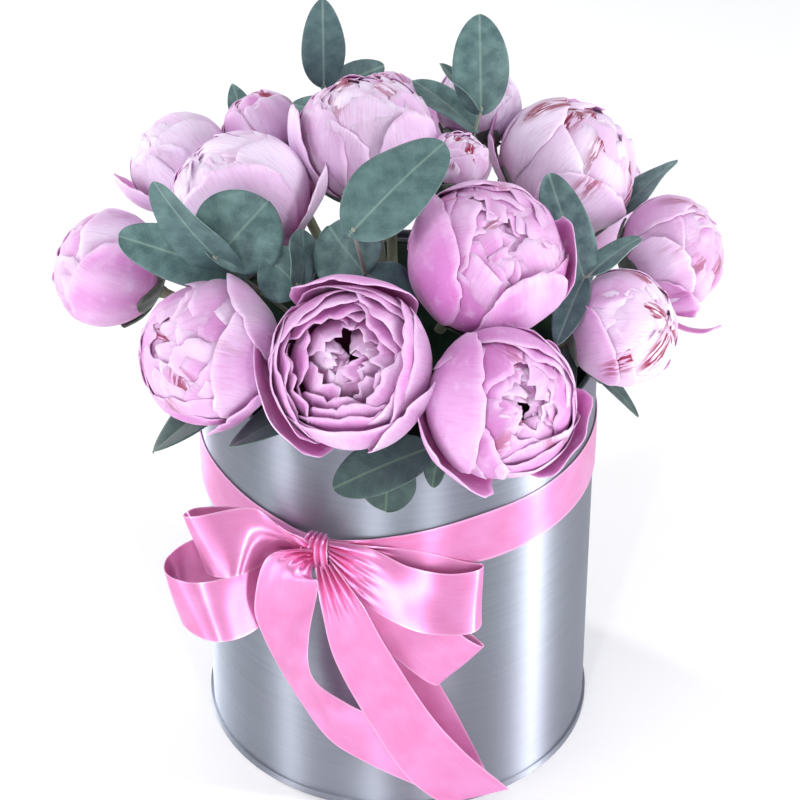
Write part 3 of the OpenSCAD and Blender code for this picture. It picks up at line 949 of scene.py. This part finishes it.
def ribbon_band():
    """The ribbon round the box: level at the back, and gathered to the knot at the front."""
    turns, columns = 241, 17
    knot_az = math.atan2(KNOT[0], -KNOT[1])
    a = np.linspace(0, 2 * math.pi, turns)
    u = np.linspace(-1, 1, columns)
    gap = np.minimum(a, 2 * math.pi - a)
    near = 1 - smoothstep(0.05, 0.85, gap)
    az = knot_az + a
    half = 14.6 - 9.5 * near
    rise = 3.5 * np.sin(az) + 2.0 * near
    puff = 0.8 + 3.2 * (1 - smoothstep(0.0, 0.35, gap))
    fold = near[:, None] * 0.9 * np.sin(3.4 * math.pi * u[None, :] + 2.0 * a[:, None])
    radius = BOX_R + puff[:, None] + np.abs(fold) + 0.15 * (1 - u[None, :] ** 2)
    z = BAND_Z + rise[:, None] + half[:, None] * u[None, :]
    grid = np.stack([radius * np.sin(az)[:, None], -radius * np.cos(az)[:, None], z], axis=-1)
    length = a * BOX_R
    uv = np.stack(np.broadcast_arrays(u[None, :] * RIBBON_W / 2, length[:, None]), axis=-1)
    # Painted shade in the troughs of the folds beside the knot
    deep_shade = 0.5 * near[:, None] * np.clip(0.5 - fold, 0, 1)
    # Painted highlight along both edges
    rim = smoothstep(0.9, 1.0, np.abs(u))[None, :] * np.ones_like(deep_shade)
    tint = np.stack([deep_shade, rim, np.zeros_like(deep_shade), np.ones_like(deep_shade)], axis=-1)
    build = Build()
    build.shell(grid[:, ::-1], RIBBON_T, uv, tint, tint)
    piece = build.make("satin_ribbon_band", SATIN, "box", ["ribbon_band"], RIBBON_SHARP)


def knot_wrap():
    """The short turn of ribbon that holds the bow together."""
    columns, turns = 57, 49
    a = np.linspace(-0.62 * math.pi, 0.62 * math.pi, turns)
    u = np.linspace(-1, 1, columns)
    az = math.atan2(KNOT[0], -KNOT[1])
    out = np.array([math.sin(az), -math.cos(az), 0.0])
    side = np.array([math.cos(az), math.sin(az), 0.0])
    up = np.array([0.0, 0.0, 1.0])
    pinch = KNOT_HALF_W + 1.2 * np.cos(a * 1.2)
    crease = KNOT_CREASE * np.sin(4.0 * math.pi * u[None, :] + 0.8 * np.sin(2 * a)[:, None])
    depth = (KNOT_DEPTH + crease) * np.cos(a)[:, None]
    height = (KNOT_HALF_H + crease) * np.sin(a)[:, None]
    place = side * (u[None, :, None] * pinch[:, None, None])
    grid = KNOT + place + out * depth[..., None] + up * height[..., None]
    length = a * 8
    uv = np.stack(np.broadcast_arrays(u[None, :] * RIBBON_W / 2, length[:, None]), axis=-1)
    # Painted shade in the creases of the knot
    deep_shade = np.clip(-crease, 0, 1) * np.ones_like(depth)
    # Painted highlight along both edges
    rim = smoothstep(0.85, 1.0, np.abs(u))[None, :] * np.ones_like(depth)
    tint = np.stack([deep_shade, rim, np.zeros_like(deep_shade), np.ones_like(deep_shade)], axis=-1)
    build = Build()
    build.shell(grid, RIBBON_T, uv, tint, tint)
    piece = build.make("bow_knot_wrap", SATIN, "box", ["bow_knot"], RIBBON_SHARP)


knot_wrap()
ribbon_band()
for k, (name, stations) in enumerate(LOOPS.items()):
    ribbon_piece("bow_loop_" + name, stations, LOOP_PLEATS, 0.9 * k)
for k, (name, stations) in enumerate(TAILS.items()):
    ribbon_piece("ribbon_tail_" + name, stations, TAIL_PLEATS, 1.1 * k, loose=True)


# ---------------------------------------------------------------- stage, light and camera

def area_light(name, place, target, size, power):
    light = bpy.data.lights.new(name, "AREA")
    light.shape = "RECTANGLE"
    light.size, light.size_y = size
    light.energy = power
    lamp = bpy.data.objects.new(name, light)
    direction = np.array(place, float) - np.array(target, float)
    lamp.location = place
    lamp.rotation_euler = (
        math.atan2(math.hypot(direction[0], direction[1]), direction[2]),
        0.0,
        math.atan2(direction[0], -direction[1]),
    )
    bpy.context.scene.collection.objects.link(lamp)


floor_mesh = bpy.data.meshes.new("floor")
span = FLOOR_SPAN
corners = [(-span, -span, 0), (span, -span, 0), (span, span, 0), (-span, span, 0)]
floor_mesh.from_pydata(corners, [], [(0, 1, 2, 3)])
floor = bpy.data.objects.new("floor", floor_mesh)
floor.location.z = -FLOOR_DROP
bpy.context.scene.collection.objects.link(floor)
paper = Nodes("paper")
paper_colour = paper.mix(paper.noise(None, 40.0), rgb(250, 250, 250), rgb(254, 254, 254))
paper.link(paper_colour, paper.shader.inputs["Base Color"])
paper.set(Roughness=0.9, Specular_IOR_Level=0.1)
floor_mesh.materials.append(paper.material)


def studio_world():
    """Pale all round, dimmer low in front of the box."""
    world = bpy.data.worlds.new("studio")
    bpy.context.scene.world = world
    world.use_nodes = True
    tree = world.node_tree
    background = tree.nodes["Background"]
    split = tree.nodes.new("ShaderNodeSeparateXYZ")
    tree.links.new(tree.nodes.new("ShaderNodeTexCoord").outputs["Generated"], split.inputs[0])
    ramp = tree.nodes.new("ShaderNodeMapRange")
    ramp.interpolation_type = "SMOOTHSTEP"
    tree.links.new(split.outputs["Y"], ramp.inputs["Value"])
    for key, value in (("From Min", -0.95), ("From Max", -0.2), ("To Min", 0.26), ("To Max", 0.55)):
        ramp.inputs[key].default_value = value
    background.inputs["Color"].default_value = (0.96, 0.97, 1.0, 1)
    tree.links.new(ramp.outputs["Result"], background.inputs["Strength"])


studio_world()
# Lights: name, place, target, width and height, power
LIGHTS = [
    ("key", (-0.6, -1.0, 2.3), (0, 0, 0.2), (1.2, 1.2), 13),
    ("right_strip", (1.49, -0.36, 0.6), (0, 0, 0.15), (0.08, 1.2), 18),
    ("front_strip", (0.42, -1.36, 0.38), (0, 0, 0.12), (0.05, 0.7), 4.5),
    ("bow_strip", (-0.30, -1.42, 0.38), (0, 0, 0.12), (0.05, 0.7), 5.5),
    ("left_strip", (-1.2, -0.70, 0.5), (0, 0, 0.15), (0.06, 1.0), 6),
    ("edge_strip", (-1.1, 0.85, 0.6), (0, 0, 0.15), (0.2, 1.2), 10),
    ("back", (0.2, 1.6, 2.0), (0, 0, 0.25), (1.6, 0.8), 6),
]
for light in LIGHTS:
    area_light(*light)

camera = bpy.data.cameras.new("camera")
camera.lens = CAMERA_LENS
camera.sensor_width = 36
camera_object = bpy.data.objects.new("camera", camera)
camera_object.location = CAMERA_PLACE
camera_object.rotation_euler = (math.radians(90 - CAMERA_LOOKS_DOWN), 0, 0)
bpy.context.scene.collection.objects.link(camera_object)
bpy.context.scene.camera = camera_object
bpy.context.scene.view_settings.view_transform = "Standard"
